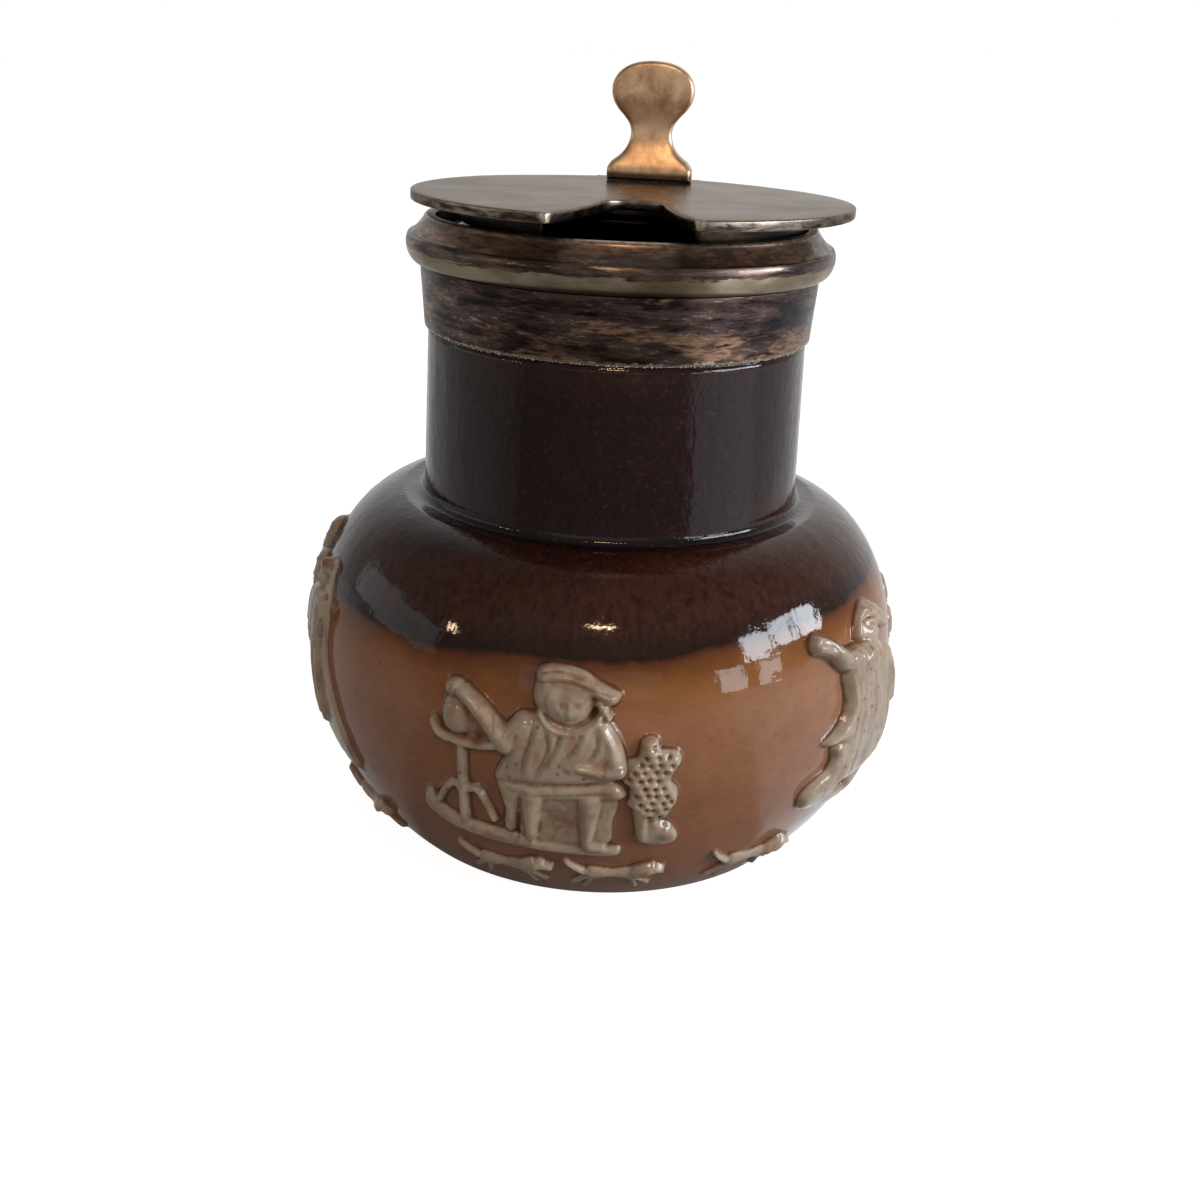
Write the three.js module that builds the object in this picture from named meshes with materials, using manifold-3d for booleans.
// A stoneware mustard pot with a metal collar and a hinged lid, in millimetres, +Z up.
// The origin is the middle of the flat base. -Y is the front, where the spoon slot is; +Y is the back,
// where the hinge and the handle are. The lid turns about an axis along X at the back of the collar.
import * as THREE from "three";
import { mergeVertices } from "three/addons/utils/BufferGeometryUtils.js";
import Module from "manifold-3d";

const wasm = await Module();
wasm.setup();

// Thrown stoneware pot
const FOOT_R = 22;
const FOOT_CHAMFER = 0.6;
const BELLY_R = 31;
const BELLY_Z = 19;
const SHOULDER_Z = 36.6; // height where the shoulder's curve would meet the neck
const SHOULDER_FULLNESS = 2.2; // 2 is an ellipse, more is squarer
const GROOVE_WIDTH = 1.5;
const GROOVE_DEPTH = 0.5;
const NECK_TOP_R = 19.2; // the collar and the lid follow this radius
const NECK_TAPER = 0.35; // the neck's foot is this much wider
const WALL = 3.3;
const FLOOR = 4.2; // thickness of the pot's bottom
const INNER_FLOOR_SET_IN = 4.5; // from the foot's radius to where the flat inner floor starts
const SEAT_STEP = 1.2; // the top of the neck is turned down by this much, inside the collar
const NECK_WALL = 2.3; // from the turned-down top to the bore
const LIP_ROUND = 0.6;
const LIP_BELOW_RIM = 1.7; // the pot's mouth stands this far under the top of the rim

// Metal collar, turned in three rings, bedded on plaster
const COLLAR_FOOT_Z = 53.4;
const SKIRT_HEIGHT = 6.2;
const BEAD_HEIGHT = 2.8;
const RIM_HEIGHT = 2.2; // part of the rim that shows above the bead
const SHEET = 0.45; // thickness of the skirt
const SKIRT_PROUD = 0.35; // the skirt's foot stands out from the neck
const SKIRT_TAPER = 0.45; // the skirt's top stands out from its foot
const BEAD_PROUD = 1.4; // the bead stands out from the skirt's top
const RIM_STEP = 0.35; // from the bead in to the foot of the rim
const RIM_SET_IN = 0.45; // from the skirt's top in to the top of the rim
const RIM_WALL = 1.05;
const FIT = 0.05; // gap between turned pieces that are soldered or bedded together

// Flat lid with a flared slot for the spoon
const LID_OFFSET = 1; // the lid was soldered a little to the right of the collar's middle
const LID_OVERHANG = 0.5; // the lid is this much wider than the bead
const LID_THICKNESS = 1.05;
const LID_LIFT = 0.9; // gap between the rim and the lid's underside
const SLOT_END_HALF = 2.9; // half the slot's width at its round end
const SLOT_DEPTH = 16.2; // from the lid's edge to the slot's end
const SLOT_MOUTH_HALF = 6.6;
const SLOT_OFFSET = 0.65; // the slot was cut a little to the right of the lid's middle
const BEZEL_WALL = 0.5;
const BEZEL_DEPTH = 1.75;
const BEZEL_CLEARANCE = 0.3;
const BEZEL_GAP = 24; // degrees from the slot's middle to where the bezel starts

// Hinge of three knuckles on one pin
const HINGE_BEHIND_BEAD = 1.5; // from the bead's back to the pin's axis
const HINGE_BELOW_LID = 0.3; // from the lid's underside to the pin's axis
const KNUCKLE_R = 1.35;
const PIN_R = 0.55;
const PIN_CLEARANCE = 0.06;
const MIDDLE_KNUCKLE = 4.4;
const OUTER_KNUCKLE = 3.6;
const KNUCKLE_GAP = 0.2;
const LEAF = 0.55; // thickness of the plates that the knuckles are bent from
const LID_BEHIND_GAP = 0.35; // from the lid's cut-back edge to the knuckles
const STRIP_PROUD = 0.3; // the hinge strip stands this far behind the bead
const PIN_HEAD_R = 0.85;
const PIN_HEAD = 0.35;

// Cast thumbpiece, with heights above the lid
const THUMB_OFFSET = 0.45; // to the right of the lid's middle
const THUMB_BEFORE_HINGE = 6.1;
const THUMB_FOOT_HALF = 4.6;
const THUMB_FOOT_DEPTH = 3.6;
const THUMB_FOOT_Z = 1.3; // top of the foot's upright sides
const THUMB_SHOULDER = 0.4; // the foot's rounded shoulder
const THUMB_WAIST_HALF = 2.1;
const THUMB_WAIST_Z = 4.9;
const THUMB_HEAD_HALF = 4.4;
const THUMB_HEAD_Z = 9.2;
const THUMB_HEIGHT = 12.3;
const THUMB_DEPTH = 2.4; // thickness of the waist and the head

// Pulled strap handle
const HANDLE_TOP_Z = 46.5;
const HANDLE_FOOT_Z = 24.5;
const HANDLE_REACH = 40.5; // how far the strap's middle stands from the pot's axis
const HANDLE_RISE = 1; // the strap climbs this much as it leaves the neck
const HANDLE_BEND = 7.2; // size of its upper bend
const HANDLE_TAIL = 8; // height of its lower sweep in to the belly
const HANDLE_HALF_WIDTH = 3.9;
const HANDLE_HALF_THICK = 2.1;
const HANDLE_SPREAD = 0.35; // the strap is this much bigger where it is pressed on

const RELIEF_UNIT = 1; // length of one unit in the lists of limbs that make the reliefs

const SEAT_GAP = 0.25; // under the handle, the reliefs and the hinge strip, which are cut to fit
const SIDES = 40; // facets of the turned pieces
const SMALL_SIDES = 16; // facets of knuckles and pin

// Heights and radii that follow from the sizes above
const neckFootR = NECK_TOP_R + NECK_TAPER;
const seatR = NECK_TOP_R - SEAT_STEP;
const boreR = seatR - NECK_WALL;
const skirtFootR = NECK_TOP_R + SKIRT_PROUD;
const skirtTopR = skirtFootR + SKIRT_TAPER;
const beadR = skirtTopR + BEAD_PROUD;
const rimFootR = beadR - RIM_STEP;
const rimR = skirtTopR - RIM_SET_IN;
const rimBoreR = rimR - RIM_WALL;
const lidR = beadR + LID_OVERHANG;
const beadFootZ = COLLAR_FOOT_Z + SKIRT_HEIGHT;
const beadTopZ = beadFootZ + BEAD_HEIGHT;
const rimZ = beadTopZ + RIM_HEIGHT;
const lipZ = rimZ - LIP_BELOW_RIM;
const ledgeZ = COLLAR_FOOT_Z - SEAT_GAP; // step in the neck under the collar
const tubeR = skirtTopR - SHEET / 4; // outside of the rim's tube, behind the bead
const lidBottomZ = rimZ + LID_LIFT;
const lidTopZ = lidBottomZ + LID_THICKNESS;
const hingeY = beadR + HINGE_BEHIND_BEAD;
const hingeZ = lidBottomZ - HINGE_BELOW_LID;
const hingeHalf = MIDDLE_KNUCKLE / 2 + KNUCKLE_GAP + OUTER_KNUCKLE;
const bezelR = rimBoreR - BEZEL_CLEARANCE - LID_OFFSET;
const stripTopZ = rimZ - SEAT_GAP / 2;

// Closed solids from three.js geometry, and back.
function solidOf(geometry) {
  const bare = geometry.index ? geometry.toNonIndexed() : geometry.clone();
  bare.deleteAttribute("normal");
  bare.deleteAttribute("uv");
  const merged = mergeVertices(bare, 1e-3);
  return new wasm.Manifold(
    new wasm.Mesh({
      numProp: 3,
      vertProperties: merged.attributes.position.array,
      triVerts: new Uint32Array(merged.index.array),
    }),
  );
}

function geometryOf(solid) {
  const mesh = solid.getMesh();
  const geometry = new THREE.BufferGeometry();
  geometry.setAttribute("position", new THREE.BufferAttribute(new Float32Array(mesh.vertProperties), 3));
  geometry.setIndex(new THREE.BufferAttribute(new Uint32Array(mesh.triVerts), 1));
  geometry.computeVertexNormals();
  return geometry;
}

// A profile of [radius, height] points turned about Z. It starts and ends on the axis or closes on itself.
function turned(profile, sides = SIDES) {
  const area = profile.reduce((sum, [r, z], i) => {
    const [r2, z2] = profile[(i + 1) % profile.length];
    return sum + r * z2 - r2 * z;
  }, 0);
  const ordered = area > 0 ? profile : [...profile].reverse();
  const onAxis = ordered[0][0] === 0 && ordered[ordered.length - 1][0] === 0;
  const points = (onAxis ? ordered : [...ordered, ordered[0]]).map(([r, z]) => new THREE.Vector2(r, z));
  return new THREE.LatheGeometry(points, sides).rotateX(Math.PI / 2);
}

// A skin through rings of points, closed at both ends by a fan. Each ring runs counter-clockwise as seen
// from the next one.
function lofted(rings) {
  const around = rings[0].length;
  const middle = (ring) => ring.reduce((sum, p) => sum.add(p), new THREE.Vector3()).divideScalar(around);
  const points = [...rings.flat(), middle(rings[0]), middle(rings[rings.length - 1])];
  const faces = [];
  for (let i = 0; i < rings.length - 1; i++)
    for (let j = 0; j < around; j++) {
      const a = i * around + j;
      const b = i * around + ((j + 1) % around);
      faces.push(a, b, b + around, a, b + around, a + around);
    }
  const last = (rings.length - 1) * around;
  for (let j = 0; j < around; j++) {
    const next = (j + 1) % around;
    faces.push(points.length - 2, next, j);
    faces.push(points.length - 1, last + j, last + next);
  }
  const geometry = new THREE.BufferGeometry().setFromPoints(points).setIndex(faces);
  geometry.computeVertexNormals();
  return geometry;
}

// Outside of the pot: an ellipse below the belly's widest line and a fuller curve above it.
const lowerReach = BELLY_Z / Math.sqrt(1 - (FOOT_R / BELLY_R) ** 2);
const upperReach = SHOULDER_Z - BELLY_Z;
const shoulderSpan = BELLY_R - neckFootR;
const fuller = (share) => (1 - share ** SHOULDER_FULLNESS) ** (1 / SHOULDER_FULLNESS);
function bellyRadius(z) {
  if (z < BELLY_Z) return BELLY_R * Math.sqrt(1 - ((BELLY_Z - z) / lowerReach) ** 2);
  return neckFootR + shoulderSpan * fuller(Math.min(1, (z - BELLY_Z) / upperReach));
}
const grooveZ = BELLY_Z + upperReach * fuller(GROOVE_WIDTH / shoulderSpan);

function outsideProfile() {
  const lowerSteps = 5;
  const upperSteps = 6;
  const profile = [
    [0, 0],
    [FOOT_R - FOOT_CHAMFER, 0],
  ];
  for (let i = 0; i <= lowerSteps; i++) {
    const z = FOOT_CHAMFER + (BELLY_Z - FOOT_CHAMFER) * (i / lowerSteps);
    profile.push([bellyRadius(z), z]);
  }
  for (let i = 1; i <= upperSteps; i++) {
    const z = BELLY_Z + (grooveZ - BELLY_Z) * Math.sin((i / upperSteps) * (Math.PI / 2));
    profile.push([bellyRadius(z), z]);
  }
  profile.push([neckFootR + GROOVE_WIDTH - GROOVE_DEPTH, grooveZ - GROOVE_DEPTH]);
  profile.push([neckFootR + GROOVE_DEPTH / 2, grooveZ - GROOVE_DEPTH]);
  profile.push([neckFootR, grooveZ + GROOVE_DEPTH]);
  profile.push([NECK_TOP_R, ledgeZ]);
  return profile;
}

// Inside of the pot, from the neck down to the middle of the floor.
function insideProfile() {
  const steps = 4;
  const innerBelly = BELLY_R - WALL;
  const innerFloorR = FOOT_R - INNER_FLOOR_SET_IN;
  const boreFootZ = SHOULDER_Z - WALL / 2;
  const profile = [[boreR, boreFootZ]];
  for (let i = 1; i <= steps; i++) {
    const turn = (i / steps) * (Math.PI / 2);
    profile.push([
      boreR + (innerBelly - boreR) * Math.sin(turn),
      BELLY_Z + (boreFootZ - BELLY_Z) * Math.cos(turn),
    ]);
  }
  for (let i = 1; i <= steps; i++) {
    const turn = (i / steps) * (Math.PI / 2);
    profile.push([
      innerFloorR + (innerBelly - innerFloorR) * Math.cos(turn),
      BELLY_Z - (BELLY_Z - FLOOR) * Math.sin(turn),
    ]);
  }
  profile.push([0, FLOOR]);
  return profile;
}

function stonewareBody() {
  return turned([
    ...outsideProfile(),
    [seatR, ledgeZ],
    [seatR, lipZ - LIP_ROUND],
    [seatR - LIP_ROUND, lipZ],
    [boreR + LIP_ROUND, lipZ],
    [boreR, lipZ - LIP_ROUND],
    ...insideProfile(),
  ]);
}

// The pot as a filled solid, grown by the seat gap: what is pressed on the pot is cut by it.
function potCutter() {
  const shell = outsideProfile().slice(1);
  const grown = shell.map(([r, z], i) => {
    const [r0, z0] = shell[Math.max(0, i - 1)];
    const [r1, z1] = shell[Math.min(shell.length - 1, i + 1)];
    const run = Math.hypot(r1 - r0, z1 - z0);
    return [r + (SEAT_GAP * (z1 - z0)) / run, z - (SEAT_GAP * (r1 - r0)) / run];
  });
  return solidOf(turned([[0, grown[0][1]], ...grown, [0, grown[grown.length - 1][1]]]));
}
const cutter = potCutter();

// Strap handle: oval rings along a curve from the neck to the shoulder, broader where it is pressed on.
function handle() {
  const steps = 22;
  const around = 12;
  const sunk = WALL * 0.75;
  const path = new THREE.CatmullRomCurve3(
    [
      [neckFootR - sunk, HANDLE_TOP_Z - 0.6 * HANDLE_RISE],
      [neckFootR + sunk, HANDLE_TOP_Z + 0.4 * HANDLE_RISE],
      [HANDLE_REACH - HANDLE_BEND, HANDLE_TOP_Z],
      [HANDLE_REACH, HANDLE_TOP_Z - HANDLE_BEND],
      [HANDLE_REACH - HANDLE_TAIL / 10, HANDLE_FOOT_Z + HANDLE_TAIL],
      [HANDLE_REACH - HANDLE_TAIL * 0.7, HANDLE_FOOT_Z + HANDLE_TAIL / 4],
      [BELLY_R - sunk, HANDLE_FOOT_Z],
    ].map(([y, z]) => new THREE.Vector3(0, y, z)),
  );
  const widthways = new THREE.Vector3(1, 0, 0);
  const rings = [];
  for (let i = 0; i <= steps; i++) {
    const share = i / steps;
    const thickways = path.getTangentAt(share).cross(widthways);
    const size = 1 + HANDLE_SPREAD * Math.abs(2 * share - 1) ** 4;
    const ring = [];
    for (let j = 0; j < around; j++) {
      const turn = (j / around) * 2 * Math.PI;
      const point = path.getPointAt(share);
      point.addScaledVector(widthways, HANDLE_HALF_WIDTH * size * Math.cos(turn));
      point.addScaledVector(thickways, HANDLE_HALF_THICK * size * Math.sin(turn));
      ring.push(point);
    }
    rings.push(ring);
  }
  return geometryOf(solidOf(lofted(rings)).subtract(cutter));
}

// Collar: plaster bed, tapered skirt, half-round bead and the rim, whose tube stands behind the bead.
function plasterBed() {
  const footR = skirtFootR - SHEET - FIT;
  const topR = skirtTopR - SHEET - FIT;
  const top = beadFootZ - 2 * FIT;
  return turned([
    [seatR + FIT, ledgeZ + FIT],
    [footR, ledgeZ + FIT],
    [footR, COLLAR_FOOT_Z],
    [topR, top],
    [seatR + FIT, top],
  ]);
}

function collarSkirt() {
  return turned([
    [skirtFootR - SHEET, COLLAR_FOOT_Z],
    [skirtFootR, COLLAR_FOOT_Z],
    [skirtTopR, beadFootZ - FIT],
    [skirtTopR - SHEET, beadFootZ - FIT],
  ]);
}

function collarBead() {
  const steps = 5;
  const widest = 0.7; // share of the bead's height where it stands out most
  const roundness = 0.55; // share of the height over which the top would close
  const innerR = tubeR + FIT;
  const profile = [[innerR, beadFootZ]];
  for (let i = 0; i <= steps; i++) {
    const share = i / steps;
    const off = (share - widest) / (share < widest ? widest : roundness);
    const swell = 0.1 + 0.9 * Math.sqrt(1 - off ** 2);
    profile.push([innerR + (beadR - innerR) * swell, beadFootZ + (BEAD_HEIGHT - FIT) * share]);
  }
  profile.push([innerR, beadTopZ - FIT]);
  return turned(profile);
}

// Outside of the rim above the bead: an S from the bead in to the lip.
function rimOutside(gap = 0) {
  const steps = 4;
  const edge = 0.2;
  const profile = [];
  for (let i = 0; i <= steps; i++) {
    const share = i / steps;
    const ease = share * share * (3 - 2 * share);
    profile.push([rimFootR + (rimR - rimFootR) * ease + gap, beadTopZ + (RIM_HEIGHT - edge) * share]);
  }
  profile.push([rimR - edge + gap, rimZ + gap]);
  return profile;
}

function collarRim() {
  const bore = [[rimBoreR, beadFootZ], [tubeR, beadFootZ], [tubeR, beadTopZ]];
  return turned([...bore, ...rimOutside(), [rimBoreR, rimZ]]);
}

// Hinge
const box = (x, y, z) => new THREE.BoxGeometry(x, y, z);

// A bar along X between two distances from the axis.
function barAlongX(length, outer, inner = 0) {
  const profile = [
    [inner, -length / 2],
    [outer, -length / 2],
    [outer, length / 2],
    [inner, length / 2],
  ];
  return turned(profile, SMALL_SIDES).rotateY(Math.PI / 2);
}

// The strip soldered along the back of the rim, which both outer knuckles stand on.
function hingeStrip() {
  const back = beadR + STRIP_PROUD;
  const depth = back - rimR;
  const height = stripTopZ - beadTopZ - FIT;
  const strip = box(2 * hingeHalf, depth, height).translate(0, back - depth / 2, stripTopZ - height / 2);
  const outside = rimOutside(SEAT_GAP);
  const rim = turned([[0, beadFootZ], [outside[0][0], beadFootZ], ...outside, [0, rimZ + SEAT_GAP]]);
  return geometryOf(solidOf(strip).subtract(solidOf(rim.translate(-LID_OFFSET, 0, 0))));
}

// A knuckle about the origin with a leaf that reaches forward to frontY, with its top at topZ.
function knuckle(width, frontY, topZ) {
  const bore = PIN_R + PIN_CLEARANCE;
  const leaf = box(width, -frontY, LEAF).translate(0, frontY / 2, topZ - LEAF / 2);
  const tube = solidOf(barAlongX(width, KNUCKLE_R)).add(solidOf(leaf));
  return geometryOf(tube.subtract(solidOf(barAlongX(3 * width, bore))));
}

const outerKnuckle = () =>
  knuckle(OUTER_KNUCKLE, rimR + SEAT_GAP - hingeY, stripTopZ + FIT + LEAF - hingeZ);
const lidKnuckle = () =>
  knuckle(MIDDLE_KNUCKLE, bezelR + BEZEL_CLEARANCE - hingeY, lidBottomZ - FIT - hingeZ);

function hingePin() {
  const half = hingeHalf + FIT;
  const profile = [
    [0, half + PIN_HEAD],
    [PIN_HEAD_R * 0.6, half + PIN_HEAD],
    [PIN_HEAD_R, half + PIN_HEAD / 2],
    [PIN_HEAD_R, half],
    [PIN_R, half],
  ];
  const mirrored = [...profile].reverse().map(([r, z]) => [r, -z]);
  return turned([...profile, ...mirrored], SMALL_SIDES).rotateY(Math.PI / 2);
}

// One flared side of the spoon slot: how far round the lid's edge it opens, and its curve outwards.
function slotSide(side, endY) {
  const turn = Math.asin((SLOT_MOUTH_HALF + side * SLOT_OFFSET) / lidR);
  const mouthY = -lidR * Math.cos(turn);
  const point = (wider, nearer) => [
    SLOT_OFFSET + side * (SLOT_END_HALF + (SLOT_MOUTH_HALF - SLOT_END_HALF) * wider),
    endY + (mouthY - endY) * nearer,
  ];
  return { turn, end: point(0, 0), bend: point(0.17, 0.39), flare: point(0.47, 0.72), mouth: point(1, 1) };
}

// Lid: a disc with a chord cut off at the hinge and a flared slot at the front.
function lidPlate() {
  const chordY = hingeY - KNUCKLE_R - LID_BEHIND_GAP;
  const chordTurn = Math.acos(chordY / lidR);
  const endY = -lidR + SLOT_DEPTH - SLOT_END_HALF; // middle of the slot's round end
  const left = slotSide(-1, endY);
  const right = slotSide(1, endY);
  const outline = new THREE.Shape();
  outline.moveTo(...right.mouth);
  outline.absarc(0, 0, lidR, -Math.PI / 2 + right.turn, Math.PI / 2 - chordTurn, false);
  outline.lineTo(-lidR * Math.sin(chordTurn), chordY);
  outline.absarc(0, 0, lidR, Math.PI / 2 + chordTurn, (3 * Math.PI) / 2 - left.turn, false);
  outline.bezierCurveTo(...left.flare, ...left.bend, ...left.end);
  outline.absarc(SLOT_OFFSET, endY, SLOT_END_HALF, Math.PI, 0, true);
  outline.bezierCurveTo(...right.bend, ...right.flare, ...right.mouth);
  return new THREE.ExtrudeGeometry(outline, {
    depth: LID_THICKNESS,
    bevelEnabled: false,
    curveSegments: 16,
  });
}

// The short wall under the lid that keeps it central in the rim, open at the spoon slot.
function lidBezel() {
  const start = -Math.PI / 2 + THREE.MathUtils.degToRad(BEZEL_GAP);
  const end = (3 * Math.PI) / 2 - THREE.MathUtils.degToRad(BEZEL_GAP);
  const outline = new THREE.Shape();
  outline.absarc(0, 0, bezelR, start, end, false);
  outline.absarc(0, 0, bezelR - BEZEL_WALL, end, start, true);
  return new THREE.ExtrudeGeometry(outline, { depth: BEZEL_DEPTH, bevelEnabled: false, curveSegments: 30 });
}

// Thumbpiece: an upright with a block foot, a waist and a flattened round head, as rings up its height.
function thumbpiece() {
  const around = 16;
  const squareness = 0.55; // below 1 the section has flat faces and round corners
  const rings = [];
  const addRing = (z, halfWidth, halfDepth) => {
    const ring = [];
    for (let j = 0; j < around; j++) {
      const c = Math.cos((j / around) * 2 * Math.PI);
      const s = Math.sin((j / around) * 2 * Math.PI);
      const x = halfWidth * Math.sign(c) * Math.abs(c) ** squareness;
      const y = halfDepth * Math.sign(s) * Math.abs(s) ** squareness;
      ring.push(new THREE.Vector3(x, y, z));
    }
    rings.push(ring);
  };
  addRing(0, THUMB_FOOT_HALF, THUMB_FOOT_DEPTH / 2);
  addRing(THUMB_FOOT_Z, THUMB_FOOT_HALF, THUMB_FOOT_DEPTH / 2);
  const flareZ = THUMB_FOOT_Z + 1.7 * THUMB_SHOULDER;
  const flareHalf = THUMB_FOOT_HALF - THUMB_SHOULDER;
  const flareDepth = THUMB_FOOT_DEPTH - THUMB_SHOULDER;
  const flareSteps = 4;
  for (let i = 0; i <= flareSteps; i++) {
    const share = i / flareSteps;
    const ease = (1 - share) ** 1.8;
    addRing(
      flareZ + (THUMB_WAIST_Z - flareZ) * share,
      THUMB_WAIST_HALF + (flareHalf - THUMB_WAIST_HALF) * ease,
      (THUMB_DEPTH + (flareDepth - THUMB_DEPTH) * ease) / 2,
    );
  }
  const swellSteps = 4;
  for (let i = 1; i <= swellSteps; i++) {
    const share = i / swellSteps;
    const ease = (1 - Math.cos(share * Math.PI)) / 2;
    addRing(
      THUMB_WAIST_Z + (THUMB_HEAD_Z - THUMB_WAIST_Z) * share,
      THUMB_WAIST_HALF + (THUMB_HEAD_HALF - THUMB_WAIST_HALF) * ease,
      THUMB_DEPTH / 2,
    );
  }
  const topSteps = 4;
  for (let i = 1; i <= topSteps; i++) {
    const turn = (i / (topSteps + 0.3)) * (Math.PI / 2);
    addRing(
      THUMB_HEAD_Z + ((THUMB_HEIGHT - THUMB_HEAD_Z) * Math.sin(turn)) / Math.sin(Math.PI / 2.15),
      THUMB_HEAD_HALF * Math.cos(turn) ** 1.1,
      (THUMB_DEPTH / 2) * Math.cos(turn) ** 0.3,
    );
  }
  return lofted(rings);
}

// Applied reliefs. Each is a group of flattened limbs pressed on the belly. A place on the belly is
// [across, height]: millimetres along the belly's widest circle from the relief's own azimuth, and the
// height over the base. Azimuth 0 is the front and grows to the right as seen from outside.
function onBelly(azimuthDeg, across, height) {
  const azimuth = THREE.MathUtils.degToRad(azimuthDeg) + across / BELLY_R;
  const radius = bellyRadius(height);
  return new THREE.Vector3(radius * Math.sin(azimuth), -radius * Math.cos(azimuth), height);
}

function bellyNormal(azimuthDeg, across, height) {
  const small = 0.05;
  const azimuth = THREE.MathUtils.degToRad(azimuthDeg) + across / BELLY_R;
  const slope = (bellyRadius(height + small) - bellyRadius(height - small)) / (2 * small);
  return new THREE.Vector3(Math.sin(azimuth), -Math.cos(azimuth), -slope).normalize();
}

// One limb runs from one place to another, with a radius at each end, and rises off the surface.
function limb(azimuthDeg, sizes) {
  const [from, to] = sizes.slice(0, 2).map((place) => place.map((value) => value * RELIEF_UNIT));
  const [fromR, toR, rise] = sizes.slice(2).map((value) => value * RELIEF_UNIT);
  const start = onBelly(azimuthDeg, ...from);
  const along = onBelly(azimuthDeg, ...to).sub(start);
  const widest = Math.max(fromR, toR);
  const length = Math.max(along.length(), widest / 10);
  const sides = widest > 2 * RELIEF_UNIT ? 8 : widest > 0.9 * RELIEF_UNIT ? 6 : 5;
  const rounded = (radius, end, out) =>
    sides > 5 ? [[radius * Math.SQRT1_2, end + out * Math.SQRT1_2]] : [];
  const shape = turned(
    [
      [0, -fromR],
      ...rounded(fromR, 0, -fromR),
      [fromR, 0],
      [toR, length],
      ...rounded(toR, length, toR),
      [0, length + toR],
    ],
    sides,
  );
  const normal = bellyNormal(azimuthDeg, (from[0] + to[0]) / 2, (from[1] + to[1]) / 2);
  if (along.length() === 0) along.set(0, 0, 1);
  along.addScaledVector(normal, -along.dot(normal)).normalize();
  const sideways = new THREE.Vector3().crossVectors(normal, along);
  shape.scale(1, rise / widest, 1);
  return shape.applyMatrix4(new THREE.Matrix4().makeBasis(sideways, normal, along).setPosition(start));
}

function relief(azimuthDeg, limbs) {
  const shape = limbs.map((one) => solidOf(limb(azimuthDeg, one))).reduce((sum, next) => sum.add(next));
  return geometryOf(shape.subtract(cutter));
}

const knob = (place, radius, rise) => [place, place, radius, radius, rise];

const toperAtTable = [
  knob([-0.7, 24.5], 2.3, 1.7), // head
  [[-3, 27.3], [4.2, 26], 0.8, 0.6, 2], // hat brim
  [[-2.4, 27.6], [1.8, 27.5], 0.8, 0.8, 1.7], // hat crown
  [[-3.4, 21.6], [2.6, 21.6], 1.8, 1.7, 1.6], // shoulders
  [[-1.4, 20.2], [-1.2, 17], 4.2, 5, 1.8], // coat
  [[3.5, 21.2], [3.6, 18.6], 1.5, 1.4, 1.9], // arm at the side
  [[3.4, 18.2], [-0.6, 18.4], 1.1, 0.9, 2.1], // its forearm
  [[-4.6, 21.4], [-5.8, 20.4], 1.5, 1.2, 1.6], // arm at the table
  [[-6.2, 20.3], [-9.6, 24], 1.15, 0.9, 1.8], // its forearm
  knob([-10.2, 24.6], 1.1, 1.7), // hand on the jug
  [[-5.4, 17.2], [-5.8, 12.4], 1.2, 0.7, 1.2], // coat tail
  [[-4, 15.2], [3.2, 15.4], 1.4, 1.3, 1.9], // lap
  [[-3.4, 14.4], [-3.4, 9.6], 1.2, 0.75, 1.6], // leg
  [[1.6, 14.2], [2, 9.6], 1.2, 0.75, 1.6], // leg
  [[-3.6, 9.3], [-5.2, 9.2], 0.7, 0.55, 1.4], // shoe
  [[1.8, 9.3], [3.6, 9.2], 0.7, 0.55, 1.4], // shoe
  [[-0.9, 13], [-0.9, 10.6], 2, 1.8, 1], // cask under him
  [[-11.3, 20.8], [-11.2, 22.6], 1.3, 1.2, 1.4], // jug
  [[-11.2, 22.6], [-11.2, 24.8], 0.9, 0.8, 1.3], // neck of the jug
  [[-12.5, 19.9], [-9.4, 19.1], 0.6, 0.6, 1.3], // table top
  [[-9.4, 19.1], [-6.6, 19.4], 0.6, 0.5, 1.3],
  [[-10.3, 18.6], [-10.4, 11.4], 0.55, 0.6, 1.2], // post
  [[-10.4, 14.8], [-13.6, 12.4], 0.4, 0.4, 0.9], // feet of the table
  [[-10.3, 14.8], [-7.2, 11.6], 0.4, 0.4, 0.9],
  [[-14.4, 12.2], [-12, 9.9], 0.6, 0.7, 1], // ground
  [[-12, 9.9], [-4, 8.8], 0.7, 0.7, 1],
  [[-4, 8.8], [4.6, 8.8], 0.6, 0.6, 1],
];

const leafyBush = [
  knob([7.2, 20.2], 1.5, 1.2),
  knob([6.9, 18.5], 1.5, 1.2),
  knob([8.6, 18.9], 1.4, 1.2),
  knob([8.1, 17], 1.4, 1.3),
  knob([8, 15.4], 1.7, 1.2),
  [[7.6, 14], [7.8, 11.4], 0.7, 0.7, 1], // stem
  [[7, 10.6], [10.4, 11.4], 0.7, 0.6, 0.9], // ground
];

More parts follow.
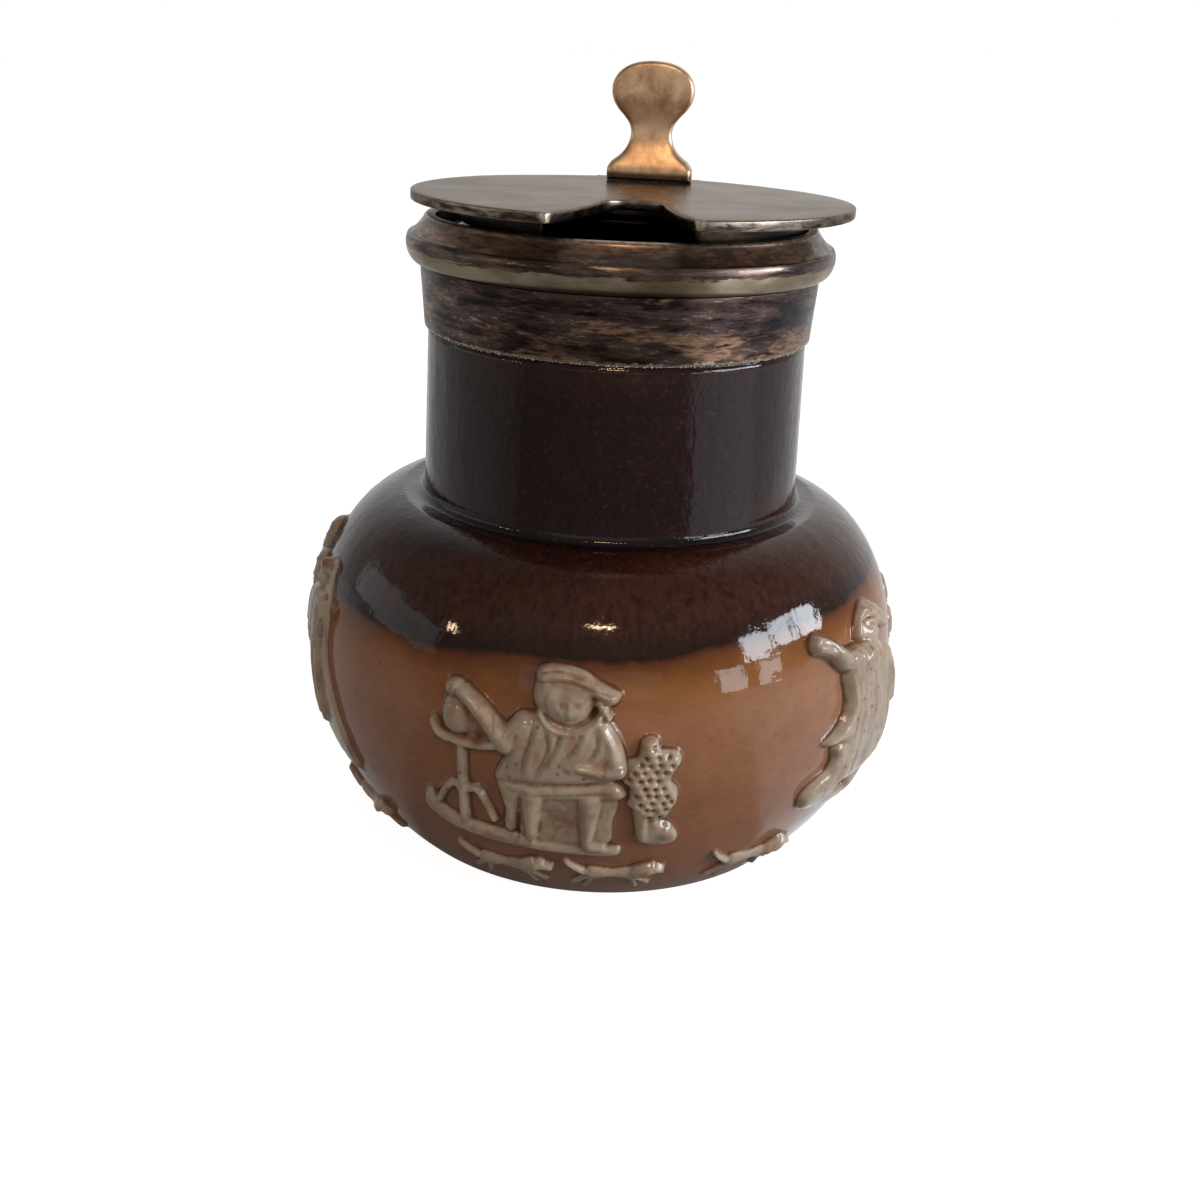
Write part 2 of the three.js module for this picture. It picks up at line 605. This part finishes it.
const drinkerFigure = [
  knob([3.6, 26.9], 2.4, 1.7), // head thrown back
  [[-0.1, 28], [3, 29.2], 0.7, 0.6, 1.9], // hat brim
  [[3, 29.2], [6.6, 27.6], 0.6, 1, 1.7], // hat crown
  [[0.6, 24.8], [6.6, 24.6], 1.6, 1.9, 1.7], // shoulders
  [[3, 22.6], [3.2, 15.6], 4.4, 5.4, 1.9], // long coat
  [[1, 24.4], [-2, 24.6], 1.3, 1.1, 2], // raised arm
  [[-2, 24.8], [-3.2, 26.2], 1.1, 0.9, 1.9], // forearm
  [[-3.6, 26.5], [-6.8, 28.2], 0.9, 0.8, 1.8], // mug
  [[6.6, 23.6], [8.4, 19], 1.5, 1.2, 1.6], // other arm
  [[-2, 19.4], [-4.6, 18.1], 1.2, 0.7, 1.4], // skirt of the coat
  [[-2.6, 16], [-4.8, 12.8], 1.5, 1.2, 1.4], // leg
  [[-4.8, 12.4], [-6.2, 11.6], 0.9, 0.7, 1.3], // shoe
  [[4.2, 13.4], [3.4, 11], 1.8, 1.1, 1.4], // leg
  [[-4.6, 10.9], [5.8, 9.8], 0.7, 0.7, 0.9], // ground
];

const standingMan = [
  [[-0.8, 28], [-0.8, 26.6], 1.3, 0.9, 1.3], // head
  [[-2.2, 29.1], [0.6, 29.2], 0.4, 0.4, 1.5], // hat brim
  knob([-0.8, 29.7], 0.9, 1.2), // hat
  [[-2.6, 25.6], [0.8, 25.8], 1.1, 1.1, 1.3], // shoulders
  [[-0.9, 24.8], [-0.6, 20.8], 2.1, 2.3, 1.5], // coat
  [[1.2, 25.8], [3, 24.9], 0.7, 0.6, 1.2], // arm
  [[3, 24.9], [1.4, 23.2], 0.6, 0.6, 1.3], // hand on the hip
  [[-3, 25.2], [-3.8, 21.4], 0.7, 0.6, 1.2], // other arm
  [[-1.6, 19.6], [-0.8, 12], 1.1, 0.7, 1.2], // leg
  [[0.6, 19.6], [2, 12], 1.1, 0.7, 1.2], // leg
  [[-2.4, 11.4], [8, 11.2], 0.7, 0.6, 1], // ground
];

const oakTree = [
  [[0, 20.5], [0.2, 12], 0.9, 1.2, 1.2], // trunk
  knob([0, 24], 2.9, 1.5), // leaves
  knob([-2.6, 26.6], 2.2, 1.4),
  knob([2.4, 26.8], 2.2, 1.4),
  knob([0, 29.6], 2.3, 1.3),
  [[-2.4, 11.2], [2.6, 11.2], 0.7, 0.7, 1], // ground
];

const youngOak = [
  [[0, 17.6], [0.2, 12], 0.8, 1.1, 1.2], // trunk
  knob([0, 20.4], 2.8, 1.4), // leaves
  knob([-2.4, 22.4], 2.1, 1.3),
  knob([2.3, 22.8], 2.1, 1.3),
  knob([0, 25.2], 2.2, 1.2),
  [[-2.4, 11.2], [2.6, 11.2], 0.7, 0.7, 1], // ground
];

const windmillScene = [
  [[0, 14], [0, 22.4], 3, 1.9, 1.5], // tower
  knob([0, 24.4], 1.8, 1.6), // cap
  [[-5, 29], [5, 19.8], 0.6, 0.6, 2], // sails
  [[5, 29], [-5, 19.8], 0.6, 0.6, 2],
  [[-4.6, 11.4], [4.6, 11.4], 0.7, 0.7, 1], // ground
];

const legs = (fore, hind, height) => [
  [[fore, height], [fore + 1.8, height - 1.9], 0.45, 0.35, 0.8],
  [[fore, height], [fore + 0.4, height - 2.2], 0.45, 0.35, 0.8],
  [[hind, height], [hind - 1.6, height - 1.9], 0.5, 0.35, 0.8],
  [[hind, height], [hind + 0.9, height - 2.2], 0.5, 0.35, 0.8],
];

const runningHound = [
  [[-2.8, 5.7], [2, 5.9], 1.05, 0.95, 1.1], // body
  [[2.2, 6.2], [3.9, 6.9], 0.7, 0.7, 1.1], // head
  [[4.4, 6.9], [5.3, 6.6], 0.45, 0.35, 1], // muzzle
  [[-3.4, 6.2], [-5.2, 7.2], 0.4, 0.3, 0.8], // tail
  ...legs(2, -3, 5.2),
];

const runningHare = [
  [[-1.8, 5.2], [1.2, 5.3], 1, 0.8, 1], // body
  [[1.6, 5.8], [2.4, 6], 0.6, 0.5, 1], // head
  [[2.1, 6.2], [0.9, 7.3], 0.35, 0.3, 0.8], // ears
  ...legs(1.2, -1.9, 4.9),
];

const leapingStag = [
  [[-2.8, 5.8], [2, 6], 1.2, 1.1, 1.2], // body
  [[2.2, 6.6], [3.2, 7.9], 0.6, 0.5, 1.1], // neck
  [[3.4, 8.1], [4.5, 7.8], 0.55, 0.4, 1.1], // head
  [[3.2, 8.4], [2.4, 9.4], 0.3, 0.3, 0.9], // antlers
  [[3.7, 8.4], [4.6, 9.4], 0.3, 0.3, 0.9],
  ...legs(2.2, -3, 5.2),
];

const mountedHuntsman = [
  [[-3, 5.7], [2.4, 5.9], 1.2, 1.1, 1.3], // body of the horse
  [[2.6, 6.4], [4, 7.8], 0.8, 0.6, 1.2], // neck
  [[4.2, 7.9], [5.3, 7.3], 0.55, 0.4, 1.2], // head
  [[-4, 6], [-5.6, 5.2], 0.45, 0.3, 0.9], // tail
  [[-0.4, 7], [-0.2, 8.2], 0.75, 0.7, 1.5], // rider
  knob([0, 9], 0.55, 1.4), // rider's head
  ...legs(2.4, -3.2, 5.2),
];

// Reliefs by name: azimuth in degrees, and shape. The hunt runs round below the figures.
const RELIEFS = {
  toper_at_table: [0, toperAtTable],
  leafy_bush: [0, leafyBush],
  drinker_figure: [59, drinkerFigure],
  standing_man: [-67, standingMan],
  tree_left: [-86, oakTree],
  windmill: [-130, windmillScene],
  tree_right: [100, youngOak],
  standing_woman: [136, standingMan],
  hunt_hound_1: [-53, runningHound],
  hunt_hound_2: [-13, runningHound],
  hunt_hound_3: [9, runningHound],
  hunt_hound_4: [39, runningHound],
  hunt_hare: [98, runningHare],
  hunt_stag: [122, leapingStag],
  hunt_hound_5: [147, runningHound],
  hunt_hound_6: [172, runningHound],
  hunt_rider: [-94, mountedHuntsman],
  hunt_hound_7: [-134, runningHound],
};

const brown = new THREE.MeshStandardMaterial({ color: 0x4a2a1c, roughness: 0.2, metalness: 0 });
const cream = new THREE.MeshStandardMaterial({ color: 0xb8ad98, roughness: 0.35, metalness: 0 });
const silver = new THREE.MeshStandardMaterial({ color: 0x6b5e55, roughness: 0.4, metalness: 0.9 });
const nickel = new THREE.MeshStandardMaterial({ color: 0x9a8f74, roughness: 0.3, metalness: 0.9 });
const gilt = new THREE.MeshStandardMaterial({ color: 0xa8794a, roughness: 0.4, metalness: 0.9 });
const plaster = new THREE.MeshStandardMaterial({ color: 0xcfc8ba, roughness: 0.9, metalness: 0 });

function named(name, geometry, material, position = [0, 0, 0]) {
  const mesh = new THREE.Mesh(geometry, material);
  mesh.name = name;
  mesh.position.set(...position);
  return mesh;
}

const pot = new THREE.Group();
pot.add(named("stoneware_body", stonewareBody(), brown));
pot.add(named("handle", handle(), brown));
for (const [name, [azimuth, limbs]] of Object.entries(RELIEFS)) {
  pot.add(named(name, relief(azimuth, limbs), cream));
}

const collar = new THREE.Group();
const knuckleX = MIDDLE_KNUCKLE / 2 + KNUCKLE_GAP + OUTER_KNUCKLE / 2;
collar.add(named("plaster_bed", plasterBed(), plaster));
collar.add(named("collar_skirt", collarSkirt(), silver));
collar.add(named("collar_bead", collarBead(), nickel));
collar.add(named("collar_rim", collarRim(), silver));
collar.add(named("hinge_strip", hingeStrip(), silver, [LID_OFFSET, 0, 0]));
collar.add(named("knuckle_left", outerKnuckle(), silver, [LID_OFFSET - knuckleX, hingeY, hingeZ]));
collar.add(named("knuckle_right", outerKnuckle(), silver, [LID_OFFSET + knuckleX, hingeY, hingeZ]));
collar.add(named("hinge_pin", hingePin(), nickel, [LID_OFFSET, hingeY, hingeZ]));

const lid = new THREE.Group();
lid.position.x = LID_OFFSET;
lid.add(named("lid_plate", lidPlate(), silver, [0, 0, lidBottomZ]));
lid.add(named("lid_bezel", lidBezel(), silver, [0, 0, lidBottomZ - FIT - BEZEL_DEPTH]));
lid.add(named("lid_knuckle", lidKnuckle(), silver, [0, hingeY, hingeZ]));
const thumbFoot = [THUMB_OFFSET, hingeY - THUMB_BEFORE_HINGE, lidTopZ + FIT];
lid.add(named("thumbpiece", thumbpiece(), gilt, thumbFoot));

const mustardPot = new THREE.Group();
mustardPot.add(pot, collar, lid);
export default mustardPot;
